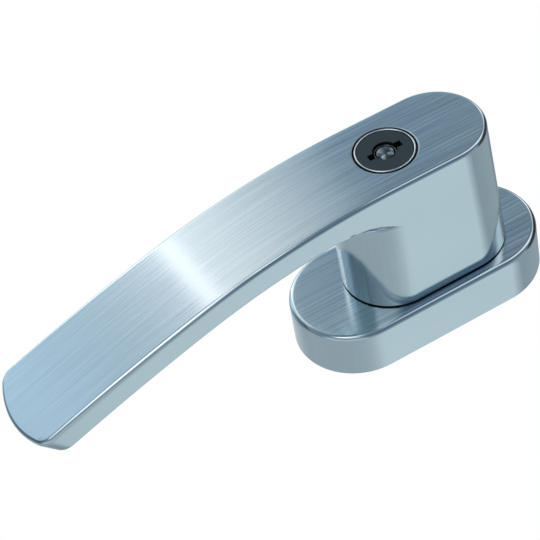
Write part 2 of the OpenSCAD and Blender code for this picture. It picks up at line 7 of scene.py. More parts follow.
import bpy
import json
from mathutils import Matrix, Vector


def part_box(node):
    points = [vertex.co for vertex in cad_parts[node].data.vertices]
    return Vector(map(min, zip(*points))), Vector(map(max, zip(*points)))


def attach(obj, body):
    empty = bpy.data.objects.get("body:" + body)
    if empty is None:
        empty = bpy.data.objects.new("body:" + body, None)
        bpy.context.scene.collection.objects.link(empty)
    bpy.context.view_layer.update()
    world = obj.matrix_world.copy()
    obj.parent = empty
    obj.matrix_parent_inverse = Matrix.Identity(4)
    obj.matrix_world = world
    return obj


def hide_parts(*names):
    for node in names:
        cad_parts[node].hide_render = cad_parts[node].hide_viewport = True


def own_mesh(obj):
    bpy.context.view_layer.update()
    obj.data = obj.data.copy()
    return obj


bl_info = {
    "name": "Lockable window handle",
    "version": (1, 0, 0),
    "blender": (4, 5, 0),
    "location": "3D View > Sidebar > Handle",
    "description": "Surfaces, finishes and stage of a lockable window handle on an oval rosette",
    "category": "Mesh",
}

import json
import math

import bmesh
import bpy
import numpy as np
from bpy.props import FloatProperty, FloatVectorProperty, IntProperty, PointerProperty
from mathutils import Euler, Matrix

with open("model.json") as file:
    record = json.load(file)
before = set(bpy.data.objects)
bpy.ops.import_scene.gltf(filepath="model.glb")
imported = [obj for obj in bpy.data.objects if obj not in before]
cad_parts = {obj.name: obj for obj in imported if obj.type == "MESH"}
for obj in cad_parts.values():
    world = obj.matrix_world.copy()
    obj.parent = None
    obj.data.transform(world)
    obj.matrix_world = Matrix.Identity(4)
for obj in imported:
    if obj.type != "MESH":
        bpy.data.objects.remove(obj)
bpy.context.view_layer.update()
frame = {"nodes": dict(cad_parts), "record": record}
QUARTER = math.pi / 2
WHITE = (1.0, 1.0, 1.0, 1.0)


def length(name, value, text, low=0.0):
    """A length, or a place along an axis, that the user may change, in metres."""
    return FloatProperty(name=name, description=text, default=value, min=low, precision=5,
                         subtype="DISTANCE", unit="LENGTH")


def angle(name, degrees, text):
    """An angle, kept in radians."""
    return FloatProperty(name=name, description=text, default=math.radians(degrees),
                         subtype="ANGLE", unit="ROTATION")


def share(name, value, text, top=1.0):
    """A plain number from nought to top."""
    return FloatProperty(name=name, description=text, default=value, min=0.0, max=top)


def count(name, value, text, low=2, top=16):
    """A whole number."""
    return IntProperty(name=name, description=text, default=value, min=low, max=top)


def colour(name, value, text):
    """A colour in linear light."""
    return FloatVectorProperty(name=name, description=text, default=value, size=3,
                               min=0.0, max=1.0, subtype="COLOR")


class LeverSizes(bpy.types.PropertyGroup):
    """Sizes of the lever, its head and its neck."""
    width: length("Width", 0.025, "Width of the lever, the head and the neck")
    thickness: length("Thickness", 0.0064, "Thickness of the lever, square to its top")
    top: length("Top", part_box("lever")[1][2], "Height of the head's flat top")
    top_edge: length("Top edge", 0.0012, "Rounding of the top edges")
    low_edge: length("Low edge", 0.0007, "Rounding of the lower edges")
    bend_x: length("Bend start", -0.0085, "Where the flat top starts to bend", -1.0)
    bend_radius: length("Bend radius", 0.18, "Radius of the first bend")
    bend_angle: angle("Bend angle", 16.5, "Angle of the first bend")
    reach_radius: length("Reach radius", 0.505, "Radius of the second bend")
    reach_angle: angle("Reach angle", 4.0, "Angle of the second bend")
    tip: length("Tip", 0.0108, "Straight length up to the crown")
    crown: length("Crown", 0.023, "Radius of the crowned tip")
    corner: length("Corner", 0.004, "Radius of the tip's corners")
    slant: angle("Slant", 18, "How far the tip's end face is set back below")
    foot: length("Foot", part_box("lever")[0][2] - 0.0002, "Height of the foot, under its node's")
    neck_left: length("Neck left", -0.0056, "Middle of the neck's left round side", -1.0)
    foot_right: length("Foot right", 0.01165, "Middle of the foot's right round end", -1.0)
    head_right: length("Head right", 0.00928, "Middle of the head's right round end", -1.0)
    fillet: length("Fillet", 0.0063, "Radius of the fillet under the lever")
    hub_bore: length("Hub bore", 0.01085, "Radius of the foot's bore")
    hub_deep: length("Hub bore end", 0.015, "Height of the foot bore's end")
    grub_hole: length("Grub hole", 0.0025, "Radius of the hole for the grub screw")
    grub_deep: length("Grub hole depth", 0.0062, "Depth of the hole for the grub screw")
    grub_height: length("Grub height", 0.02, "Height of the grub screw")
    pin_hole: length("Pin hole", 0.00125, "Radius of the hole for the lock's pin")
    pin_deep: length("Pin hole depth", 0.003, "Depth of the hole for the lock's pin")
    pin_height: length("Pin height", 0.043, "Height of the lock's pin")


class RosetteSizes(bpy.types.PropertyGroup):
    """Sizes of the oval cover."""
    half: length("Half length", 0.017, "Half the straight length of the oval")
    low_radius: length("Low radius", 0.01575, "Radius of the round ends at the back")
    high_radius: length("High radius", 0.01545, "Radius of the round ends under the edge")
    height: length("Height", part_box("cover")[1][2], "Height of the cover")
    edge: length("Edge", 0.0014, "Rounding of the front edge")
    wall: length("Wall", 0.0012, "Sheet thickness")
    hole: length("Hole", 0.0114, "Radius of the round hole under the neck")


class LockSizes(bpy.types.PropertyGroup):
    """Sizes of the lock in the head."""
    x: length("Lock middle", -0.003, "Middle of the barrel along X", -1.0)
    bore: length("Bore", 0.00742, "Radius of the bore in the head")
    bore_floor: length("Bore floor", 0.0273, "Height of the bore's floor")
    ring_out: length("Ring outside", 0.007, "Outer radius of the bright ring")
    ring_in: length("Ring inside", 0.0066, "Inner radius of the bright ring")
    ring_low: length("Ring seat", 0.0488, "Height of the ring's lower face")
    ring_top: length("Ring top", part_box("lock_bezel")[1][2], "Height of the ring's top")
    face: length("Face", 0.0065, "Radius of the lock face")
    face_top: length("Face top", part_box("lock_plug")[1][2], "Height of the lock face")
    face_thick: length("Face thickness", 0.0023, "Thickness of the lock face")
    plug: length("Plug", 0.0055, "Radius of the plug behind the face")
    plug_low: length("Plug end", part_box("lock_plug")[0][2], "Height of the plug's lower end")
    chamber: length("Chamber", 0.0046, "Radius of the tumblers' chamber")
    chamber_top: length("Chamber top", 0.0465, "Height of the chamber's top")
    key: length("Keyhole", 0.00285, "Radius of the round keyhole")
    wing: length("Wings", 0.0085, "Length over the keyhole's two wings")
    wing_width: length("Wing width", 0.0017, "Width of a wing")
    dome: length("Dome", 0.00235, "Radius of the shutter's dome")
    dome_rise: length("Dome rise", 0.0009, "Height of the dome over its rim")
    dome_top: length("Dome top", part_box("lock_bezel")[1][2], "Height of the dome's top")
    shutter: length("Shutter", 0.00265, "Radius of the shutter")
    shutter_low: length("Shutter end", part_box("keyhole_shutter")[0][2],
                        "Height of the shutter's lower end")
    sides: count("Steps round", 144, "Steps round each turned piece", 48, 360)


class SpringSizes(bpy.types.PropertyGroup):
    """Sizes of the wire springs, whose places come from the frame."""
    detent_wire: length("Detent wire", 0.00018, "Wire radius of the detent springs")
    detent_turns: count("Detent turns", 3, "Turns of a detent spring")
    bolt_wire: length("Bolt wire", 0.00022, "Wire radius of the bolt's spring")
    bolt_turns: count("Bolt turns", 7, "Turns of the bolt's spring")
    bolt_travel: length("Bolt travel", 0.0025, "How far the bolt shortens its spring")
    shutter_wire: length("Shutter wire", 0.00022, "Wire radius of the shutter's spring")
    shutter_turns: count("Shutter turns", 4, "Turns of the shutter's spring")
    shutter_travel: length("Shutter travel", 0.006, "How far the shutter shortens its spring")


class Finish(bpy.types.PropertyGroup):
    """Colours and strengths of the finishes."""
    steel: colour("Brushed steel", (0.63, 0.735, 0.80), "Colour of the brushed faces")
    satin: colour("Satin steel", (0.60, 0.715, 0.77), "Colour of the side walls")
    streaks: share("Streaks", 0.33, "How strongly the brushing shows")
    face: colour("Lock face", (0.026, 0.045, 0.055), "Colour of the lock face")
    bright: colour("Bright steel", (0.86, 0.90, 0.92), "Colour of the ring")
    # painted reflection: the polished dome's colour is darkened to stand in for the dark it mirrors
    # in the keyhole
    dome: colour("Dome", (0.15, 0.18, 0.20), "Colour of the shutter's dome")


class Light(bpy.types.PropertyGroup):
    """Strengths of the studio's light."""
    sky: share("Sky", 1.0, "Strength of the light from above", 10.0)
    arch: share("Arch", 1.0, "Strength of the arch of light overhead", 10.0)


def quads(rows, columns):
    """The faces of a grid of points, as the numbers of their corners."""
    index = np.arange(rows * columns).reshape(rows, columns)
    return np.stack([index[:-1, :-1], index[1:, :-1], index[1:, 1:], index[:-1, 1:]], -1)


class Shell:
    """Grids of points that become one closed mesh."""

    def __init__(self):
        self.points, self.faces, self.uvs, self.marks, self.count = [], [], [], [], 0

    def add(self, grid, mark=0, keep=None):
        """Adds a grid of points (rows, columns, 3); keep says which of its faces stay.

        mark is the number of the faces' material. The UV map has Y along U and X along V, which
        gives the brushing its direction.
        """
        points, faces = grid.reshape(-1, 3), quads(*grid.shape[:2])
        faces = faces.reshape(-1, 4) if keep is None else faces[keep]
        self.points.append(points)
        self.faces.append(faces + self.count)
        self.uvs.append(10 * points[faces.reshape(-1)][:, [1, 0]])
        self.marks.append(np.full(len(faces), mark))
        self.count += len(points)
        return self

    def both(self, grid, mark=0, keep=None):
        """Adds a grid and its mirror image across the XZ plane."""
        self.add(grid, mark, keep)
        self.add(grid * [1, -1, 1], mark, keep)

    def build(self, name, materials, sharp=35):
        """The finished object: points within a micrometre are one, and faces point outwards.

        sharp is the angle in degrees from which an edge stays sharp.
        """
        mesh = bpy.data.meshes.new(name)
        faces = np.concatenate(self.faces)
        mesh.from_pydata(np.concatenate(self.points), [], faces.tolist())
        mesh.uv_layers.new(name="Brushing").data.foreach_set(
            "uv", np.concatenate(self.uvs).astype(np.float32).ravel())
        mesh.polygons.foreach_set("material_index", np.concatenate(self.marks).astype(np.int32))
        mesh.polygons.foreach_set("use_smooth", np.ones(len(faces), bool))
        work = bmesh.new()
        work.from_mesh(mesh)
        bmesh.ops.remove_doubles(work, verts=work.verts, dist=1e-6)
        bmesh.ops.dissolve_degenerate(work, edges=work.edges, dist=1e-7)
        bmesh.ops.recalc_face_normals(work, faces=work.faces)
        loose = sum(len(edge.link_faces) != 2 for edge in work.edges)
        if loose:
            raise RuntimeError(f"{name} has {loose} open edges")
        work.to_mesh(mesh)
        work.free()
        mesh.set_sharp_from_angle(angle=math.radians(sharp))
        for material in materials:
            mesh.materials.append(material)
        piece = bpy.data.objects.new(name, mesh)
        bpy.context.scene.collection.objects.link(piece)
        piece.modifiers.new("Even shading", "WEIGHTED_NORMAL").keep_sharp = True
        return piece


def shares(number):
    """Even steps from nought to one, both among them."""
    return np.linspace(0, 1, number)


def mix(a, b, t):
    """Points from a to b, t from nought to one."""
    return a + (b - a) * t


def round_points(turn, r, z, x=0.0):
    """Points at the angles turn about an upright axis through x. All four may be arrays."""
    return np.stack(np.broadcast_arrays(x + r * np.cos(turn), r * np.sin(turn), z), -1)


def blend_rows(first, last, steps):
    """A grid whose rows run in a straight line from each point of first to the one in last."""
    return mix(first[:, None], last[:, None], steps[None, :, None])


def smooth(t):
    """A step from nought to one with soft ends."""
    t = np.clip(t, 0, 1)
    return t * t * (3 - 2 * t)


def on_bar(size, s, y, depth):
    """A point of the lever's bar.

    s runs along the top line from the first bend towards the tip, y across and depth down, square
    to the top. The line is flat, then an arc of bend_radius, an arc of reach_radius and a straight.
    """
    first, second = size.bend_radius * size.bend_angle, size.reach_radius * size.reach_angle
    s, y, depth = np.broadcast_arrays(np.asarray(s, float), y, depth)
    a = np.clip(s, 0, first) / size.bend_radius
    b = np.clip(s - first, 0, second) / size.reach_radius
    lean, bend = a + b, size.bend_angle
    rest = np.maximum(s - first - second, 0)
    x = (size.bend_x - np.minimum(s, 0) - size.bend_radius * np.sin(a)
         - size.reach_radius * (np.sin(bend + b) - math.sin(bend)) - rest * np.cos(lean))
    z = (size.top - size.bend_radius * (1 - np.cos(a))
         - size.reach_radius * (math.cos(bend) - np.cos(bend + b)) - rest * np.sin(lean))
    return np.stack([x + depth * np.sin(lean), y, z - depth * np.cos(lean)], -1)


def bar_place(size, x, z):
    """s and depth of a point near the head, in the flat part or the first bend."""
    low = size.top - size.bend_radius
    turn = np.arctan2(size.bend_x - x, z - low)
    bent = x < size.bend_x
    s = np.where(bent, size.bend_radius * turn, size.bend_x - x)
    depth = np.where(bent, size.bend_radius - np.hypot(size.bend_x - x, z - low), size.top - z)
    return s, depth


def coons(low, high, left, right):
    """A patch between four lines of points in the plane: the mean of both ways across, less the
    plane through the four corners. low and high run across, left and right along."""
    along = np.linalg.norm(np.diff(left, axis=0), axis=1)
    u = (np.concatenate([[0], np.cumsum(along)]) / along.sum())[:, None, None]
    v = shares(len(low))[None, :, None]
    corners = mix(mix(low[0], low[-1], v), mix(high[0], high[-1], v), u)
    return mix(low[None], high[None], u) + mix(left[:, None], right[:, None], v) - corners


def with_hole(shell, grid, middle, radius, depth, marks):
    """Adds a round blind hole to a flat upright wall at +Y.

    The wall's faces round the hole are taken out, rings of points run from that gap's rim to the
    circle, and a wall and a floor close the hole. marks are the materials of the wall and the hole.
    Returns which faces of the grid are left.
    """
    margin, lip = 0.0006, 0.00015
    reach = radius + margin
    x, z = grid[..., 0], grid[..., 2]
    rows = np.flatnonzero((z[0] < middle[1] + reach) & (z[0] > middle[1] - reach))
    top, end = rows[0] - 1, rows[-1] + 1
    columns = np.flatnonzero((x[:, top:end + 1].max(1) > middle[0] - reach)
                             & (x[:, top:end + 1].min(1) < middle[0] + reach))
    first, last = columns[0] - 1, columns[-1] + 1
    keep = np.ones((grid.shape[0] - 1, grid.shape[1] - 1), bool)
    keep[first:last, top:end] = False
    rim = np.concatenate([grid[first:last, top], grid[last, top:end],
                          grid[last:first:-1, end], grid[first, end:top:-1]])
    rim = np.concatenate([rim, rim[:1]])
    turn = np.arctan2(rim[:, 2] - middle[1], rim[:, 0] - middle[0])
    y = rim[0, 1]

    def circle(r, inwards):
        return np.stack([middle[0] + r * np.cos(turn), np.full(len(turn), y - inwards),
                         middle[1] + r * np.sin(turn)], -1)

    shell.add(blend_rows(rim, circle(radius + lip, 0), shares(5)), marks[0])
    wall = [circle(radius + lip, 0), circle(radius + lip / 4, lip / 4), circle(radius, lip),
            circle(radius, depth), circle(radius / 2, depth), circle(0, depth)]
    shell.add(np.stack(wall, 1), marks[1])
    return keep


def lever_outline(size):
    """Half of the lever's outline in plan, from the head's right end to the tip's middle.

    Gives s and y of each point, its outward normal in the same plane, the index of the end of each
    stretch (round end, side of the neck, fillet, side of the bar, corner and crown), and the depth
    of the fillet's edge in the side wall.
    """
    half, corner_y = size.width / 2, size.width / 2 - size.corner
    arm = size.crown - size.corner
    crown_half = math.asin(corner_y / arm)
    bar_end = size.bend_radius * size.bend_angle + size.reach_radius * size.reach_angle
    crown_s = bar_end + size.tip - size.crown
    corner_s = crown_s + math.sqrt(arm * arm - corner_y * corner_y)
    turn = np.linspace(0, QUARTER, 49)
    head_s = size.bend_x - size.head_right
    places = [np.stack([head_s - half * np.cos(turn), half * np.sin(turn)], -1)]
    normals = [np.stack([-np.cos(turn), np.sin(turn)], -1)]
    head = size.bend_x - np.linspace(size.head_right, size.neck_left, 21)[1:]
    rays, sweep, rise, cut = fillet_rays(size)
    x = size.neck_left + half / np.tan(rays[:cut])
    z = rise[:cut] + size.fillet * np.sin(sweep[:cut])
    s, depth = bar_place(size, x, z)
    for line in (head, s[1:], mix(s[-1], corner_s, shares(61)[1:] ** 1.15)):
        places.append(np.stack(np.broadcast_arrays(line, half), -1))
    flat = sum(len(p) for p in places[1:])
    normals.append(np.tile([[0.0, 1.0]], (flat, 1)))
    for middle, radius, turn in (
            ((corner_s, corner_y), size.corner, np.linspace(QUARTER, crown_half, 15)[1:]),
            ((crown_s, 0), size.crown, np.linspace(crown_half, 0, 14)[1:])):
        way = np.stack([np.cos(turn), np.sin(turn)], -1)
        places.append(np.array(middle) + radius * way)
        normals.append(way)
    marks = np.cumsum([len(p) for p in places]) - 1
    return np.concatenate(places), np.concatenate(normals), marks, depth


def fillet_rays(size):
    """Rays round the neck's left side, from its side to its middle.

    On a ray the fillet is an arc that leaves the neck upright and touches the lever's underside, so
    it turns by a quarter and the underside's lean along the ray, worked out in twelve rounds. The
    side walls cut the first rays' arcs short. Returns each ray's angle, how far its arc turns and
    the height of its arc's middle, and the number of the rays that are cut.
    """
    half, rho = size.width / 2, size.fillet
    inner = size.bend_radius - size.thickness

    def meeting(ray):
        lean = np.zeros_like(ray)
        for _ in range(12):
            end = half + rho * (1 + np.sin(lean))
            x = size.neck_left + end * np.cos(ray)
            slope = np.arcsin(np.clip((size.bend_x - x) / inner, 0, 1))
            lean = np.arctan(-np.tan(slope) * np.cos(ray))
        z = size.top - size.bend_radius + inner * np.cos(slope)
        return end, lean, z - rho * np.cos(lean)

    table = np.linspace(QUARTER, math.pi, 4001)
    end = meeting(table)[0] * np.sin(table)
    low, high = QUARTER, math.pi
    for _ in range(60):
        mid = (low + high) / 2
        inside = meeting(np.array([mid]))[0][0] * math.sin(mid) < half
        low, high = (low, mid) if inside else (mid, high)
    side = QUARTER + (high - QUARTER) * shares(17)
    middle = np.linspace(high, math.pi, 28)[1:]
    rays = np.concatenate([side, middle])
    lean, rise = meeting(rays)[1:]
    short = np.arccos(np.clip(1 - (half / np.sin(side) - half) / rho, -1, 1))[:-1]
    return rays, np.concatenate([short, QUARTER + lean[len(short):]]), rise, len(side)


def lever_shell(size, lock):
    """The lever, head and neck as one closed shell of sheets that share their edges."""
    half, thick = size.width / 2, size.thickness
    shell = Shell()
    outline, normal, marks, side_depth = lever_outline(size)
    i_neck, i_fillet, i_side, _, i_tip = marks[1:]
    s, y = outline.T
    rays, sweep, rise, cut = fillet_rays(size)
    across = len(rays) - cut
    i_mid = i_tip - across
    lag = np.clip((s - s[i_fillet]) / (s[i_side] - s[i_fillet]), 0, 1) * math.tan(size.slant)

    def inset(d, depth, sel=slice(None)):
        q = outline[sel] - normal[sel] * np.asarray(d)[..., None]
        return on_bar(size, q[:, 0] - lag[sel] * depth, q[:, 1], depth)

    def face_of_bar(first, sides, depth, mark):
        """Half of a face of the bar, from the line first to the tip and from a side to the middle."""
        edge, last = sides[i_fillet:i_mid + 1], sides[i_mid:i_tip + 1]
        middle = mix(first[-1], last[-1], shares(len(edge))[:, None])
        flat = coons(first, last, edge, middle)
        shell.both(on_bar(size, flat[..., 0], flat[..., 1], depth), mark)

    # top rounding
    turn = np.linspace(0, QUARTER, 9)
    shell.both(np.stack([inset(size.top_edge * (1 - math.sin(t)),
                               size.top_edge * (1 - math.cos(t))) for t in turn], 1), 1)
    # upright walls of the head and the neck, raked at the right end
    edge_z = size.top - size.top_edge
    z = np.concatenate([np.linspace(edge_z, rise[0], 13), np.linspace(rise[0], size.foot, 31)[1:]])
    sel = slice(0, i_neck + 1)
    x = size.bend_x - s[sel]
    weight = np.clip((x - size.neck_left) / (size.head_right - size.neck_left), 0, 1)
    shift = (size.foot_right - size.head_right) * (edge_z - z) / (edge_z - size.foot)
    wall = np.stack(np.broadcast_arrays(x[:, None] + weight[:, None] * shift, y[sel][:, None],
                                        z[None]), -1)
    keep = with_hole(shell, wall, (0.0, size.grub_height), size.grub_hole, size.grub_deep, (1, 2))
    keep &= with_hole(shell, wall, (lock.x, size.pin_height), size.pin_hole, size.pin_deep, (1, 2))
    shell.add(wall, 1, keep)
    shell.add(wall * [1, -1, 1], 1)
    # side walls over the fillet, then along the bar to the tip
    rows = shares(13)
    sel = slice(i_neck, i_fillet + 1)
    shell.both(blend_rows(inset(0, size.top_edge, sel), inset(0, side_depth, sel), rows), 1)
    sel = slice(i_fillet, i_tip + 1)
    low = size.low_edge * smooth((s[sel] - s[i_fillet]) / 0.006)
    shell.both(blend_rows(inset(0, size.top_edge, sel), inset(0, thick - low, sel), rows), 1)
    turn = np.linspace(0, QUARTER, 6)
    shell.both(np.stack([inset(low * (1 - math.cos(t)), thick - low * (1 - math.sin(t)), sel)
                         for t in turn], 1), 1)
    # left side of the neck and the fillet
    ray = rays[:, None]
    z = mix(rise[:, None], size.foot, shares(31))
    around = round_points(ray, half, z, size.neck_left)
    shell.both(around, 1)
    turn = sweep[:, None] * shares(13)
    fillet = round_points(ray, half + size.fillet * (1 - np.cos(turn)),
                          rise[:, None] + size.fillet * np.sin(turn), size.neck_left)
    shell.both(fillet, 1)
    # underside
    start = fillet[cut - 1:, -1]
    start_s = bar_place(size, start[:, 0], start[:, 2])[0]
    sides = outline - normal * np.concatenate([np.zeros(i_fillet), low])[:, None]
    sides[:, 0] -= lag * thick
    face_of_bar(np.stack([start_s, start[:, 1]], -1), sides, thick, 1)
    # top of the bar
    sides = outline - normal * size.top_edge
    joint = mix(sides[i_fillet], sides[i_fillet] * [1, 0], shares(across + 1)[:, None])
    face_of_bar(joint, sides, 0, 0)
    # top of the head, round the lock's bore
    rim = np.concatenate([sides[:i_fillet + 1], joint[1:]])
    hub = np.array([size.bend_x - lock.x, 0.0])
    turn = np.arctan2(rim[:, 1], hub[0] - rim[:, 0])
    turn[-1] = math.pi
    lip, upper, lower = 0.00012, 0.0012, 0.004
    circle = hub + (lock.bore + lip) * np.stack([-np.cos(turn), np.sin(turn)], -1)
    flat = blend_rows(circle, rim, shares(15) ** 1.3)
    shell.both(on_bar(size, flat[..., 0], flat[..., 1], 0), 0)
    top = on_bar(size, circle[:, 0], circle[:, 1], 0)
    bore, deep = [top], top[:, 2] - lock.bore_floor
    for r, drop in ((lock.bore + lip * 0.3, lip * 0.3), (lock.bore, lip), (lock.bore, upper),
                    (lock.bore, lower), (lock.bore, deep), (0, deep)):
        bore.append(round_points(turn, r, top[:, 2] - drop, lock.x))
    shell.both(np.stack(bore, 1), 2)
    # foot, with the hub's bore
    rim = np.concatenate([wall[:, -1], around[1:, -1]])
    turn = np.arctan2(rim[:, 1], rim[:, 0])
    turn[-1] = math.pi
    bore = [round_points(turn, r, z) for r, z in (
        (size.hub_bore, size.foot), (size.hub_bore, size.hub_deep), (0, size.hub_deep))]
    shell.both(np.stack([rim, mix(rim, bore[0], 0.5)] + bore, 1), 2)
    return shell


def oval(half, radius, z):
    """Points round a flat oval: a round end, a straight side, and both turned by half a turn."""
    turn = np.linspace(-QUARTER, QUARTER, 65)
    along = np.linspace(1, -1, 25)[1:-1]
    x = np.concatenate([half + radius * np.cos(turn), along * half])
    y = np.concatenate([radius * np.sin(turn), np.full(len(along), radius)])
    way = np.stack([x, y, np.full(len(x), z)], -1)
    return np.concatenate([way, way * [-1, -1, 1], way[:1]])


def facing(rim, radius, z):
    """Points of a circle about the Z axis at the angles of the rim's points."""
    return round_points(np.arctan2(rim[:, 1], rim[:, 0]), radius, z)


def cover_shell(size):
    """The cover: rings of points from its hole over the top, down the wall and up inside."""
    lip = 0.0001
    top, inside = size.height, size.high_radius - size.wall
    rings = [oval(size.half, size.high_radius - size.edge * (1 - math.sin(t)),
                  top - size.edge * (1 - math.cos(t))) for t in np.linspace(0, QUARTER, 10)]
    shell = Shell()
    shell.add(blend_rows(facing(rings[0], size.hole + lip, top), rings[0], shares(13)))
    rings += [oval(size.half, mix(size.high_radius, size.low_radius, t),
                   mix(top - size.edge, 2 * lip, t)) for t in shares(9)[1:]]
    rings += [oval(size.half, radius, z) for radius, z in (
        (size.low_radius - 2 * lip, 0.0), (inside + 2 * lip, 0.0), (inside, 2 * lip),
        (inside, top - size.wall))]
    shell.add(np.stack(rings, 1), 1)
    roof = facing(rings[-1], size.hole, top - size.wall)
    shell.add(blend_rows(rings[-1], roof, shares(5)), 1)
    shell.add(np.stack([roof, facing(roof, size.hole, top - lip),
                        facing(rings[0], size.hole + lip, top)], 1), 1)
    return shell


def turned(x, profile, sides, closed=True):
    """A profile of radius and height turned about the axis through x, its ends joined if closed."""
    r, z = np.array(profile + profile[:1] if closed else profile, float).T
    turn = np.linspace(0, 2 * math.pi, sides + 1)
    turn[-1] = 0
    return Shell().add(round_points(turn[:, None], r, z, x))


def arc(r, z, radius, start, end, steps):
    """Points of an arc in a profile, angles in degrees from the outward side."""
    t = np.radians(np.linspace(start, end, steps))
    return [(r + radius * math.cos(a), z + radius * math.sin(a)) for a in t]


def ring_shell(lock):
    """The bright ring: a flat band whose top is a half round."""
    bead = (lock.ring_out - lock.ring_in) / 2
    profile = [(lock.ring_in, lock.ring_low), (lock.ring_out, lock.ring_low)]
    profile += arc(lock.ring_in + bead, lock.ring_top - bead, bead, 0, 180, 13)
    return turned(lock.x, profile, lock.sides)


def keyhole(lock, turn, more=0.0):
    """Radius of the keyhole's outline at each angle: a circle, and wings with square ends."""
    half, reach = lock.wing_width / 2 + more, lock.wing / 2 + more
    side, across = np.abs(np.cos(turn)), np.abs(np.sin(turn))
    wing = np.minimum(reach / np.maximum(side, 1e-9), half / np.maximum(across, 1e-9))
    return np.maximum(lock.key + more, wing)


def plug_shell(lock):
    """The lock face and the plug behind it, with the keyhole cut through to the chamber."""
    half, reach = lock.wing_width / 2, lock.wing / 2
    corner, root = math.atan2(half, reach), math.asin(half / lock.key)
    quarter = np.concatenate([np.linspace(0, corner, 7), np.linspace(corner, root, 5)[1:],
                              np.linspace(root, QUARTER, 28)[1:]])
    turn = np.concatenate([quarter, math.pi - quarter[-2::-1], math.pi + quarter[1:],
                           2 * math.pi - quarter[-2::-1]])
    turn[-1] = 0
    lip, edge, top = 0.00008, 0.0001, lock.face_top
    key, wide = keyhole(lock, turn), keyhole(lock, turn, lip)

    def ring(r, z):
        return round_points(turn, r, z, lock.x)

    face = [ring(key, top - lip), ring(mix(key, wide, 0.7), top - lip * 0.3), ring(wide, top)]
    outer = lock.face - edge
    face += [ring(mix(wide, outer, t), top) for t in shares(9)[1:]]
    face += [ring(outer + edge * math.sin(t), top - edge * (1 - math.cos(t)))
             for t in np.linspace(0, QUARTER, 4)[1:]]
    low = top - lock.face_thick
    body = [face[-1], ring(lock.face, low), ring(lock.plug, low), ring(lock.plug, lock.plug_low),
            ring(lock.chamber, lock.plug_low), ring(lock.chamber, lock.chamber_top),
            ring(key, lock.chamber_top)]
    walls = [ring(key, mix(lock.chamber_top, top - lip, t)) for t in shares(4)]
    return Shell().add(np.stack(face, 1)).add(np.stack(body, 1), 1).add(np.stack(walls, 1), 1)


def shutter_shell(lock):
    """The shutter: a polished dome, a fine groove and a low rim, on a plain stem.

    The dome is an arc of rise over its radius, turned about the barrel's axis.
    """
    dome, top, rise = lock.dome, lock.dome_top, lock.dome_rise
    low, lip, groove = top - rise, 0.00014, 0.0002
    ball = (dome * dome + rise * rise) / (2 * rise)
    start = math.degrees(math.asin(dome / ball))
    profile = [(0, top)] + arc(0, top - ball, ball, 90, 90 - start, 21)[1:]
    profile += [(dome + 0.00003, low - groove + 0.00002), (dome + 0.0001, low - groove)]
    profile += arc(lock.shutter - lip, low - 0.00012, lip, 180, 0, 9)
    profile += [(lock.shutter, lock.shutter_low + 0.0001),
                (lock.shutter - 0.0001, lock.shutter_low), (0, lock.shutter_low)]
    return turned(lock.x, profile, lock.sides // 2, closed=False)


def coil_shell(node, wire, turns):
    """A round wire wound about an upright axis, in the box of the node that it stands for.

    The wire's middle climbs evenly on a circle. Its section is a circle that stands in the plane
    through the axis, and shrinks to a point at both ends.
    """
    low, high = (np.array(corner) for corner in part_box(node))
    middle, radius = (low + high) / 2, (high[0] - low[0]) / 2 - wire
    along = np.concatenate([[0], shares(48 * turns + 1), [1]])[:, None]
    thick = np.full_like(along, wire)
    thick[[0, -1]] = 0
    section = np.linspace(0, 2 * math.pi, 15)
    climb = mix(low[2] + wire, high[2] - wire, along) + thick * np.sin(section)
    wound = round_points(2 * math.pi * turns * along, radius + thick * np.cos(section), climb)
    return Shell().add(wound + [middle[0], middle[1], 0])


class Tree:
    """Short ways to add and join nodes in one tree."""

    def __init__(self, tree):
        self.tree = tree

    def new(self, kind, inputs=(), **settings):
        """Adds a shader node; inputs pairs the name or place of a socket with what goes there."""
        node = self.tree.nodes.new("ShaderNode" + kind)
        for key, value in settings.items():
            setattr(node, key, value)
        for socket, value in dict(inputs).items():
            self.put(node.inputs[socket], value)
        return node

    def put(self, socket, value):
        """Joins an output to a socket, or sets the socket's own value."""
        if isinstance(value, bpy.types.NodeSocket):
            self.tree.links.new(value, socket)
        else:
            socket.default_value = value

    def math(self, operation, *values):
        return self.new("Math", enumerate(values), operation=operation).outputs[0]

    def parts(self, title):
        """X, Y and Z of a texture coordinate."""
        where = self.new("TexCoord").outputs[title]
        return self.new("SeparateXYZ", {0: where}).outputs[:3]

    def grey(self, value):
        """The same value in all three channels."""
        return self.new("CombineXYZ", enumerate([value] * 3)).outputs[0]

    def blend(self, factor, a, b, kind="MIX"):
        """The colours a and b mixed, or a times b if the kind is MULTIPLY."""
        return self.new("Mix", {"Factor": factor, "A": a, "B": b}, data_type="RGBA",
                        blend_type=kind).outputs["Result"]

    def spread(self, value, low, high, to_low=0.0, to_high=1.0):
        """A value carried from the range low to high to another range, and kept inside it."""
        return self.new("MapRange", {"Value": value, "From Min": low, "From Max": high,
                                               "To Min": to_low, "To Max": to_high}).outputs[0]

    def noise(self, scale, detail, roughness=0.55, where=None):
        """A noise with a scale along each axis, in Object coordinates if where isn't given."""
        where = where or self.new("TexCoord").outputs["Object"]
        where = self.new("Mapping", {"Vector": where, "Scale": scale}).outputs[0]
        return self.new("TexNoise", {"Vector": where, "Scale": 1.0, "Detail": detail,
                                               "Roughness": roughness}).outputs[0]

    def even(self, *noises):
        """The sum of noises, each times its share, less a half."""
        total = -0.5
        for noise, part in noises:
            total = self.math("MULTIPLY_ADD", noise, part, total)
        return total


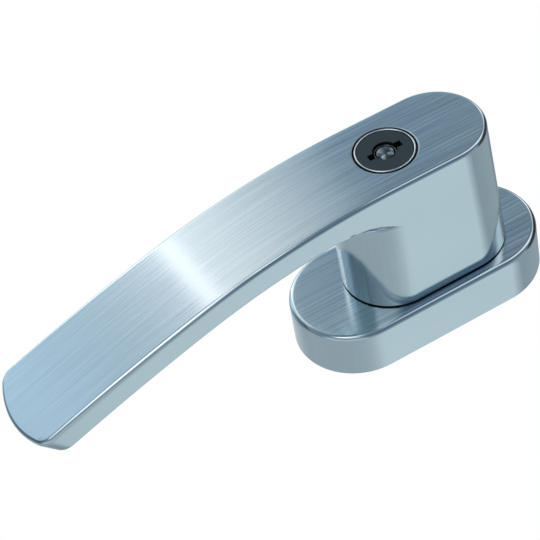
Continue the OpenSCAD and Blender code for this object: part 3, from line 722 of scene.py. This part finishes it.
def brushing(tree):
    """Long fine scratches along X, which fade towards the lever's tip.

    Three noises, each stretched along X and fine across, from hair lines to bands a few millimetres
    wide.
    """
    fresh = tree.spread(tree.parts("Object")[0], -0.075, 0.005, 0.35, 1.0)
    hair = tree.noise((45, 3700, 45), 1.0)
    line, wide = tree.noise((30, 1800, 30), 2.0), tree.noise((8, 500, 8), 2.0)
    even = tree.math("MULTIPLY", tree.even((hair, 0.6), (line, 0.3), (wide, 0.1)), fresh)
    return even, 4.0, hair, tree.spread(even, -0.15, 0.15)


def casting(tree):
    """The skin of a casting: fine pits and a slow change of tone."""
    pits = tree.noise((1800, 1800, 1800), 5.0, 0.6)
    cloud = tree.noise((140, 140, 140), 3.0)
    return tree.even((pits, 0.6), (cloud, 0.4)), 3.0, pits, tree.spread(cloud, 0.3, 0.7)


def turning(tree):
    """Fine rings left by a lathe about the Z axis, and across it by height."""
    x, y, z = tree.parts("Object")
    square = tree.math("ADD", tree.math("POWER", x, 2.0), tree.math("POWER", y, 2.0))
    place = tree.grey(tree.math("ADD", tree.math("SQRT", square), z))
    rings = tree.noise((4200, 0, 0), 2.0, where=place)
    return tree.even((rings, 1.0)), 3.0, rings, tree.spread(rings, 0.3, 0.7)


EFFECTS = {"Brushing": brushing, "Casting": casting, "Turning": turning}


def effect(name):
    """The shared effect of that name as a node group, made once.

    The effect's function gives a noise about nought and its gain, a height and a roughness. Tone is
    one plus the noise times its gain and the Strength. Rough is nought to one.
    """
    group = bpy.data.node_groups.get(name)
    if group:
        return group
    group = bpy.data.node_groups.new(name, "ShaderNodeTree")
    for title, way in (("Strength", "INPUT"), ("Tone", "OUTPUT"), ("Height", "OUTPUT"),
                       ("Rough", "OUTPUT")):
        group.interface.new_socket(title, in_out=way, socket_type="NodeSocketFloat")
    tree = Tree(group)
    even, gain, height, rough = EFFECTS[name](tree)
    strength = group.nodes.new("NodeGroupInput").outputs["Strength"]
    tone = tree.math("MULTIPLY_ADD", even, tree.math("MULTIPLY", strength, gain), 1.0)
    for socket, value in zip(group.nodes.new("NodeGroupOutput").inputs, (tone, height, rough)):
        tree.put(socket, value)
    return group


def finish(name, base, rough, kind, strength, bump=0.0, metallic=1.0, spread=0.08,
           anisotropic=0.0, crown=0.0, shade_in_reflections=1.0):
    """A material whose tone, roughness and relief follow one of the shared effects.

    crown leans the normal outwards by that much per metre from the middle, as linishing does.
    shade_in_reflections is painted shade: where a glossy ray sees the face, its tone is multiplied by
    this, so the face looks darker in the faces that mirror it.
    """
    material = bpy.data.materials.new(name)
    material.use_nodes = True
    tree = Tree(material.node_tree)
    work = tree.new("Group", {"Strength": strength}, node_tree=effect(kind))
    tone = work.outputs["Tone"]
    # painted shade: the tone is darker where the face is seen in reflections
    if shade_in_reflections < 1:
        seen = tree.new("LightPath").outputs["Is Glossy Ray"]
        tone = tree.math("MULTIPLY", tone, tree.spread(seen, 0, 1, 1, shade_in_reflections))
    inputs = {"Base Color": tree.blend(1.0, (*base, 1.0), tree.grey(tone), "MULTIPLY"),
              "Roughness": tree.spread(work.outputs["Rough"], 0.0, 1.0, rough - spread / 2,
                                       rough + spread / 2),
              "Metallic": metallic, "Anisotropic": anisotropic}
    if bump:
        inputs["Normal"] = tree.new("Bump", {
            "Strength": 1.0, "Distance": bump, "Height": work.outputs["Height"]}).outputs[0]
    if anisotropic:
        inputs["Tangent"] = tree.new("Tangent", direction_type="UV_MAP",
                                     uv_map="Brushing").outputs[0]
    if crown:
        across = tree.math("MULTIPLY", tree.parts("Object")[1], crown)
        lean = tree.new("VectorTransform", {
            0: tree.new("CombineXYZ", {1: across}).outputs[0]},
            convert_from="OBJECT", convert_to="WORLD")
        normal = tree.new("NewGeometry").outputs["Normal"]
        total = tree.new("VectorMath", {0: normal, 1: lean.outputs[0]}, operation="ADD")
        inputs["Normal"] = tree.new("VectorMath", {0: total.outputs[0]},
                                    operation="NORMALIZE").outputs[0]
    for title, value in inputs.items():
        tree.put(material.node_tree.nodes["Principled BSDF"].inputs[title], value)
    return material


FINISHES = {
    "zinc": ("Zinc casting", (0.43, 0.44, 0.46), 0.42, "Casting", 0.22, 4e-6),
    "spring_steel": ("Rolled spring steel", (0.52, 0.52, 0.5), 0.32, "Brushing", 0.14),
    "plain_steel": ("Ground steel", (0.62, 0.63, 0.65), 0.2, "Turning", 0.1),
    "spring_wire": ("Drawn wire", (0.42, 0.43, 0.45), 0.28, "Casting", 0.15),
    "brass": ("Turned brass", (0.72, 0.53, 0.23), 0.28, "Turning", 0.14),
    "polymer": ("Moulded polymer", (0.62, 0.62, 0.58), 0.45, "Casting", 0.08, 2e-6, 0.0),
    "dark_steel": ("Blackened steel", (0.045, 0.046, 0.05), 0.4, "Casting", 0.3, 2e-6, 0.6),
}


def slot_material(slot):
    """The material of a slot in FINISHES, made once."""
    return bpy.data.materials.get(FINISHES[slot][0]) or finish(*FINISHES[slot])


def hand_over(piece, body, node):
    """The piece rides on its body and stands for its node, which is hidden."""
    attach(piece, body)
    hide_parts(node)


class HANDLE_OT_lever(bpy.types.Operator):
    """Make the lever with its head and neck"""
    bl_idname = "handle.lever"
    bl_label = "Lever"

    def execute(self, context):
        scene = context.scene
        look = scene.handle_finish
        # the brushed steel of the lever's and the cover's tops is painted a little darker in its
        # reflections, as painted shade
        brushed = finish("Brushed steel", look.steel, 0.18, "Brushing", look.streaks,
                         anisotropic=0.85, crown=1.0, spread=0.16, shade_in_reflections=0.9)
        satin = finish("Satin steel", look.satin, 0.13, "Brushing", look.streaks * 0.12)
        # painted shade: the bores, the blind holes and the foot's underside take a dark steel that
        # stands in for the shade inside them
        inside = finish("Bored steel in painted shade", (0.16, 0.18, 0.2), 0.35, "Turning", 0.15)
        shell = lever_shell(scene.handle_lever, scene.handle_lock)
        piece = shell.build("lever_skin", [brushed, satin, inside])
        hand_over(piece, "handle", "lever")
        return {"FINISHED"}


class HANDLE_OT_cover(bpy.types.Operator):
    """Make the oval cover of the rosette"""
    bl_idname = "handle.cover"
    bl_label = "Cover"

    def execute(self, context):
        steels = [bpy.data.materials[name] for name in ("Brushed steel", "Satin steel")]
        piece = cover_shell(context.scene.handle_rosette).build("cover_skin", steels)
        hand_over(piece, "rosette", "cover")
        return {"FINISHED"}


class HANDLE_OT_lock(bpy.types.Operator):
    """Make the bright ring, the lock face and the keyhole's shutter"""
    bl_idname = "handle.lock"
    bl_label = "Lock"

    def execute(self, context):
        scene = context.scene
        look, lock = scene.handle_finish, scene.handle_lock
        bright = finish("Polished steel", look.bright, 0.16, "Turning", 0.03)
        face = finish("Lock face", look.face, 0.5, "Casting", 0.05, 1e-6, metallic=0.0)
        # painted shade: the keyhole's walls and the chamber behind them are near black, standing in
        # for the shade deep in the keyhole
        key = finish("Keyway in painted shade", (0.004, 0.004, 0.005), 0.55, "Casting", 0.1, metallic=0.0)
        ring = ring_shell(lock).build("lock_ring", [bright], 50)
        hand_over(ring, "handle", "lock_bezel")
        plug = plug_shell(lock).build("lock_front", [face, key])
        hand_over(plug, "plug", "lock_plug")
        # painted reflection: the polished dome is coloured dark, standing in for the dark it mirrors
        # in the keyhole
        dark = finish("Polished chrome in painted shade", look.dome, 0.07, "Turning", 0.04, spread=0.02)
        shutter = shutter_shell(lock).build("shutter_dome", [dark], 40)
        hand_over(shutter, "shutter", "keyhole_shutter")
        return {"FINISHED"}


class HANDLE_OT_springs(bpy.types.Operator):
    """Make the four springs of round wire"""
    bl_idname = "handle.springs"
    bl_label = "Springs"

    def execute(self, context):
        size = context.scene.handle_springs
        detent = ("handle", size.detent_wire, size.detent_turns, None, 0)
        rows = {"detent_spring_rear": detent, "detent_spring_front": detent,
                "bolt_spring": ("handle", size.bolt_wire, size.bolt_turns, "bolt_slide",
                                size.bolt_travel),
                "shutter_spring": ("plug", size.shutter_wire, size.shutter_turns,
                                   "shutter_slide", size.shutter_travel)}
        wire_steel = [slot_material("spring_wire")]
        for node, (body, wire, turns, joint, travel) in rows.items():
            coil = coil_shell(node, wire, turns).build(f"{node}_coil", wire_steel, 60)
            hand_over(coil, body, node)
            if joint:
                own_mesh(coil)
        return {"FINISHED"}


class HANDLE_OT_inner(bpy.types.Operator):
    """Give every carried-over part its material"""
    bl_idname = "handle.inner"
    bl_label = "Inner parts"

    def execute(self, context):
        replaced = {"lever", "cover", "lock_bezel", "lock_plug", "keyhole_shutter",
                    "detent_spring_rear", "detent_spring_front", "bolt_spring", "shutter_spring"}
        slots = {row["node"]: row["material_slot"] for row in frame["record"]["subparts"]}
        # painted shade: the housing takes the blackened steel so that the groove round the ring looks
        # dark, as the shade in it would make it
        slots["lock_housing"] = "dark_steel"
        for name, node in frame["nodes"].items():
            if name not in replaced:
                node.data.materials.clear()
                node.data.materials.append(slot_material(slots[name]))
        return {"FINISHED"}


def band(tree, value, stops):
    """A colour that follows a value from -1 to 1 through the given stops."""
    ramp = tree.new("ValToRGB")
    elements = ramp.color_ramp.elements
    while len(elements) < len(stops):
        elements.new(0.5)
    for element, (where, *tone) in zip(elements, stops):
        element.position = (where + 1) / 2
        element.color = (*tone, 1.0)
    tree.put(ramp.inputs[0], tree.spread(value, -1.0, 1.0))
    return ramp.outputs[0]


# Stops of the studio's light: a part of the direction, then red, green and blue
BACK_SKY = [(-0.8, 0.14, 0.20, 0.26), (-0.62, 0.16, 0.22, 0.28), (-0.53, 0.45, 0.56, 0.65),
            (-0.46, 0.66, 0.82, 0.95), (-0.43, 0.56, 0.70, 0.81), (-0.39, 0.52, 0.65, 0.75),
            (-0.35, 0.51, 0.63, 0.71), (-0.30, 0.56, 0.66, 0.72), (-0.226, 0.78, 0.84, 0.87),
            (-0.206, 2.00, 1.85, 1.80), (-0.192, 2.00, 1.85, 1.80), (-0.172, 1.02, 1.04, 1.04),
            (-0.10, 0.97, 0.99, 0.99), (-0.04, 0.87, 0.90, 0.91), (0.07, 0.68, 0.73, 0.75),
            (0.18, 0.46, 0.54, 0.59), (0.25, 0.29, 0.38, 0.45), (0.33, 0.22, 0.30, 0.37),
            (0.39, 0.25, 0.33, 0.39), (0.50, 0.28, 0.36, 0.42), (0.68, 0.32, 0.40, 0.46),
            (0.75, 1.40, 1.42, 1.45), (0.86, 1.50, 1.50, 1.50), (0.92, 0.3, 0.36, 0.40)]
ARCH = [(-0.62, 0.25, 0.31, 0.36), (-0.53, 1.2, 1.25, 1.3), (-0.44, 2.2, 2.2, 2.2),
        (-0.24, 1.7, 1.7, 1.7), (-0.17, 0.70, 0.76, 0.80), (-0.12, 1.5, 1.5, 1.5),
        (-0.05, 1.3, 1.3, 1.3), (0.04, 0.2, 0.26, 0.32), (0.2, 0.16, 0.22, 0.28),
        (0.28, 0.85, 0.9, 0.95), (0.4, 1.1, 1.1, 1.1), (0.82, 1.1, 1.1, 1.1)]
CAMERA_LEFT = [(0.25, 0.58, 0.65, 0.70), (0.5, 0.40, 0.46, 0.51), (0.62, 0.24, 0.29, 0.34),
               (0.76, 0.24, 0.29, 0.34), (0.84, 1.2, 1.2, 1.2)]
CAMERA_SIDE = [(-0.1, 0.50, 0.55, 0.58), (0.05, 0.38, 0.43, 0.46), (0.2, 0.33, 0.38, 0.42),
               (0.37, 0.24, 0.30, 0.35), (0.6, 0.13, 0.19, 0.26), (0.8, 0.12, 0.18, 0.25),
               (0.95, 0.2, 0.26, 0.3)]
GROUND = [(-0.65, 0.42, 0.47, 0.495), (-0.38, 0.43, 0.485, 0.505), (-0.22, 0.46, 0.515, 0.535),
          (-0.1, 0.50, 0.56, 0.575), (0.0, 0.56, 0.62, 0.64), (0.1, 0.645, 0.715, 0.73),
          (0.22, 0.68, 0.75, 0.775), (0.42, 0.685, 0.755, 0.78), (0.5, 0.52, 0.58, 0.60),
          (0.6, 0.34, 0.40, 0.43), (0.8, 0.38, 0.44, 0.47)]
BACK_GROUND = [(-0.8, 0.28, 0.33, 0.37), (-0.5, 0.40, 0.45, 0.48), (0.0, 0.6, 0.65, 0.67),
               (0.25, 0.7, 0.76, 0.78), (0.33, 0.92, 0.96, 0.97), (0.42, 0.92, 0.96, 0.97),
               (0.48, 0.28, 0.34, 0.40), (0.7, 0.06, 0.1, 0.15)]


def world_light(light):
    """A studio round the part, worked out from the direction's parts x, y and z.

    Behind the part the sky follows x: a narrow bright band left of the middle, a middle grey beyond
    it, and dark to the right. An arch of light runs overhead from left to right. The camera's side
    follows z: dark, and lighter low down and on the left high up. The ground follows x: bright in
    front of the part and dim at the sides. The camera itself sees white.
    """
    world = bpy.data.worlds.new("Studio")
    bpy.context.scene.world = world
    world.use_nodes = True
    tree, nodes = Tree(world.node_tree), world.node_tree.nodes
    x, y, z = tree.parts("Generated")

    def scaled(tone, factor):
        return tree.blend(1.0, tone, tree.grey(factor), "MULTIPLY")

    behind = scaled(band(tree, x, BACK_SKY), tree.spread(y, 0.2, 1.0, 0.35, 1.5))
    near = tree.blend(tree.spread(x, -0.32, -0.14), band(tree, z, CAMERA_LEFT),
                      band(tree, z, CAMERA_SIDE))
    arch = scaled(band(tree, x, ARCH), light.arch)
    arch = tree.blend(tree.spread(z, 0.45, 0.2), arch, (0.12, 0.18, 0.24, 1.0))
    front = tree.blend(tree.spread(y, -0.1, -0.26), arch, near)
    sky = tree.blend(tree.spread(y, 0.28, 0.12), behind, front)
    ground = tree.blend(tree.spread(y, 0.32, 0.5), band(tree, x, GROUND),
                        band(tree, x, BACK_GROUND))
    ground = scaled(ground, tree.spread(z, -0.98, -0.86, 0.65, 1.0))
    whole = tree.blend(tree.spread(z, 0.06, -0.1), sky, ground)
    whole = scaled(whole, tree.spread(x, 0.82, 0.9, 1.0, 0.15))
    tree.put(nodes["Background"].inputs["Color"], whole)
    nodes["Background"].inputs["Strength"].default_value = light.sky
    seen = tree.new("Background", {"Color": WHITE})
    pick = tree.new("MixShader", {
        0: tree.new("LightPath").outputs["Is Camera Ray"],
        1: nodes["Background"].outputs[0], 2: seen.outputs[0]})
    tree.put(nodes["World Output"].inputs[0], pick.outputs[0])


def floor_material():
    """A plain white floor, lit evenly and clear from below."""
    material = bpy.data.materials.new("White floor")
    material.use_nodes = True
    tree, nodes = Tree(material.node_tree), material.node_tree.nodes
    nodes.remove(nodes["Principled BSDF"])
    pick = tree.new("MixShader", {
        0: tree.new("NewGeometry").outputs["Backfacing"],
        1: tree.new("Emission", {"Color": WHITE}).outputs[0],
        2: tree.new("BsdfTransparent").outputs[0]})
    tree.put(nodes["Material Output"].inputs["Surface"], pick.outputs[0])
    return material


# The camera at the photo's angle: its place, its turns about X, Y and Z in degrees, and its lens
# and the width of its sensor in millimetres
EYE = (-0.117955, -0.241070, 0.299906)
TURNS = (42.75037, 9.28611, -28.6857)
LENS, SENSOR = 108.57, 36.0


class HANDLE_OT_stage(bpy.types.Operator):
    """Set up the floor, the light and the camera"""
    bl_idname = "handle.stage"
    bl_label = "Stage"

    def execute(self, context):
        scene = context.scene
        scene.view_settings.view_transform = "Standard"
        world_light(scene.handle_light)
        reach = np.linspace(-3.0, 3.0, 9)
        x, y = np.meshgrid(reach, reach, indexing="ij")
        grid = np.stack([x, y, np.full_like(x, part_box("base_plate")[0][2])], -1)
        mesh = bpy.data.meshes.new("floor")
        mesh.from_pydata(grid.reshape(-1, 3), [], quads(9, 9).reshape(-1, 4).tolist())
        mesh.materials.append(floor_material())
        floor = bpy.data.objects.new("floor", mesh)
        scene.collection.objects.link(floor)
        for kind in ("diffuse", "glossy", "transmission", "volume_scatter", "shadow"):
            setattr(floor, "visible_" + kind, False)
        camera = bpy.data.cameras.new("camera")
        camera.lens, camera.sensor_width, camera.sensor_fit = LENS, SENSOR, "HORIZONTAL"
        camera.clip_start, camera.clip_end = 0.01, 20.0
        eye = bpy.data.objects.new("camera", camera)
        scene.collection.objects.link(eye)
        eye.matrix_world = Matrix.LocRotScale(EYE, Euler([math.radians(a) for a in TURNS]), None)
        scene.camera = eye
        return {"FINISHED"}


class HANDLE_PT_pieces(bpy.types.Panel):
    """The handle's pieces, sizes and finishes"""
    bl_label = "Window handle"
    bl_idname = "HANDLE_PT_pieces"
    bl_space_type = "VIEW_3D"
    bl_region_type = "UI"
    bl_category = "Handle"

    def draw(self, context):
        scene = context.scene
        for operator in OPERATORS:
            self.layout.operator(operator.bl_idname)
        for group in (getattr(scene, name) for name in SETTINGS):
            box = self.layout.box()
            for key in type(group).__annotations__:
                box.prop(group, key)


OPERATORS = (HANDLE_OT_lever, HANDLE_OT_cover, HANDLE_OT_lock, HANDLE_OT_springs, HANDLE_OT_inner,
             HANDLE_OT_stage)
SETTINGS = {"handle_lever": LeverSizes, "handle_rosette": RosetteSizes, "handle_lock": LockSizes,
            "handle_springs": SpringSizes, "handle_finish": Finish, "handle_light": Light}
CLASSES = (*SETTINGS.values(), *OPERATORS, HANDLE_PT_pieces)


def register():
    for item in CLASSES:
        bpy.utils.register_class(item)
    for name, kind in SETTINGS.items():
        setattr(bpy.types.Scene, name, PointerProperty(type=kind))


def unregister():
    for name in SETTINGS:
        delattr(bpy.types.Scene, name)
    for item in reversed(CLASSES):
        bpy.utils.unregister_class(item)


def main():
    """Makes every piece in order."""
    register()
    bpy.ops.handle.lever()
    bpy.ops.handle.cover()
    bpy.ops.handle.lock()
    bpy.ops.handle.springs()
    bpy.ops.handle.inner()
    bpy.ops.handle.stage()


if __name__ == "__main__":
    main()
